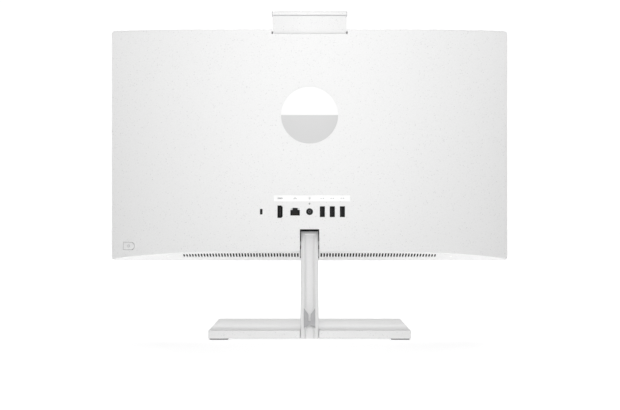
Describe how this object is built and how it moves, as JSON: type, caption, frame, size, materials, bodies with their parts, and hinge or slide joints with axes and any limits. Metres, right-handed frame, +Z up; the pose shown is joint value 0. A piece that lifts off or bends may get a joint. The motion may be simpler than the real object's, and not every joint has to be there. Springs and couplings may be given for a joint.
{
  "type": "all-in-one desktop computer",
  "caption": "Thin all-in-one desktop computer: a tilting display with a bulging vented rear cover, sockets and a pop-up camera, on a leaning grooved post and a flat base.",
  "frame": {"origin": "on the table under the middle of the base", "axes": "+Z up; the screen faces -Y; +X to the right seen from the front"},
  "size_m": [0.541, 0.18, 0.4367],
  "materials": {
    "speckled_white": "fine-textured white moulding with tiny grey flecks",
    "satin_white": "satin white coated metal",
    "clip_grey": "mid-grey moulding",
    "black_plastic": "fine matt black moulding",
    "black_gloss": "gloss black window",
    "screen": "dark anti-glare screen glass",
    "lens": "coated lens glass",
    "rubber": "soft grey-black rubber",
    "steel": "plain steel",
    "sheet_steel": "zinc-plated sheet",
    "backlight_case": "pale moulded case",
    "aluminium": "cast and machined",
    "copper": null,
    "mirror": "polished mirror finish",
    "circuit_board": "solder-masked glass-fibre board",
    "label": "printed white film",
    "light": "clear light guide",
    "ribbon": "flat film cable"
  },
  "bodies": {
    "stand": {"base_cover": "speckled_white", "base_floor": "sheet_steel", "base_weight": "steel", "foot_front_left": "rubber", "foot_front_right": "rubber", "foot_rear_left": "rubber", "foot_rear_right": "rubber", "base_screw_left": "steel", "base_screw_right": "steel", "post_channel": "satin_white", "post_spine": "steel", "post_front_cover": "satin_white", "cable_clip": "clip_grey", "hinge_shaft": "steel", "hinge_nut_left": "steel", "hinge_nut_right": "steel"},
    "display": {"rear_cover": "speckled_white", "front_frame": "black_plastic", "screen_glass": "screen", "backlight": "backlight_case", "chassis_plate": "sheet_steel", "hinge_bracket": "sheet_steel", "stand_pocket": "speckled_white", "main_board": "circuit_board", "video_socket": "steel", "network_socket": "black_plastic", "power_socket": "black_plastic", "data_socket_1": "steel", "data_socket_2": "steel", "data_socket_3": "steel", "lock_plate": "steel", "status_light": "light", "socket_label": "label", "badge_disc": "mirror", "button_board": "circuit_board", "cold_plate": "copper", "heat_pipe": "copper", "fin_stack": "copper", "fan_housing": "black_plastic", "memory_1": "circuit_board", "memory_2": "circuit_board", "solid_state_drive": "black_plastic", "radio_card": "circuit_board", "clock_cell": "steel", "hard_drive": "aluminium", "drive_caddy": "sheet_steel", "speaker_left": "black_plastic", "speaker_right": "black_plastic", "screen_ribbon": "ribbon", "camera_bay": "black_plastic", "camera_latch": "clip_grey", "camera_spring": "steel"},
    "camera": {"camera_housing": "speckled_white", "camera_cap": "speckled_white", "camera_window": "black_gloss", "camera_lens": "lens", "camera_board": "circuit_board"},
    "button": {"power_button": "speckled_white"},
    "fan": {"fan_rotor": "black_plastic"}
  },
  "joints": [
    {"name": "display_tilt", "type": "hinge", "parent": "stand", "child": "display", "pos_m": [0, 0.0022, 0.12201], "axis": [-1, 0, 0], "range_deg": [-5, 20]},
    {"name": "camera_slide", "type": "slide", "parent": "display", "child": "camera", "axis": [0, 0, 1], "range_m": [-0.0252, 0], "stiffness_N_per_m": 120, "springref_m": 0.015, "deforming": ["camera_spring"]},
    {"name": "button_press", "type": "slide", "parent": "display", "child": "button", "axis": [0, -1, 0], "range_m": [0, 0.0008], "stiffness_N_per_m": 1200, "springref_m": -0.0003},
    {"name": "fan_spin", "type": "hinge", "parent": "display", "child": "fan", "pos_m": [0.15, -0.0139, 0.25301], "axis": [0, 1, 0], "continuous": true}
  ]
}
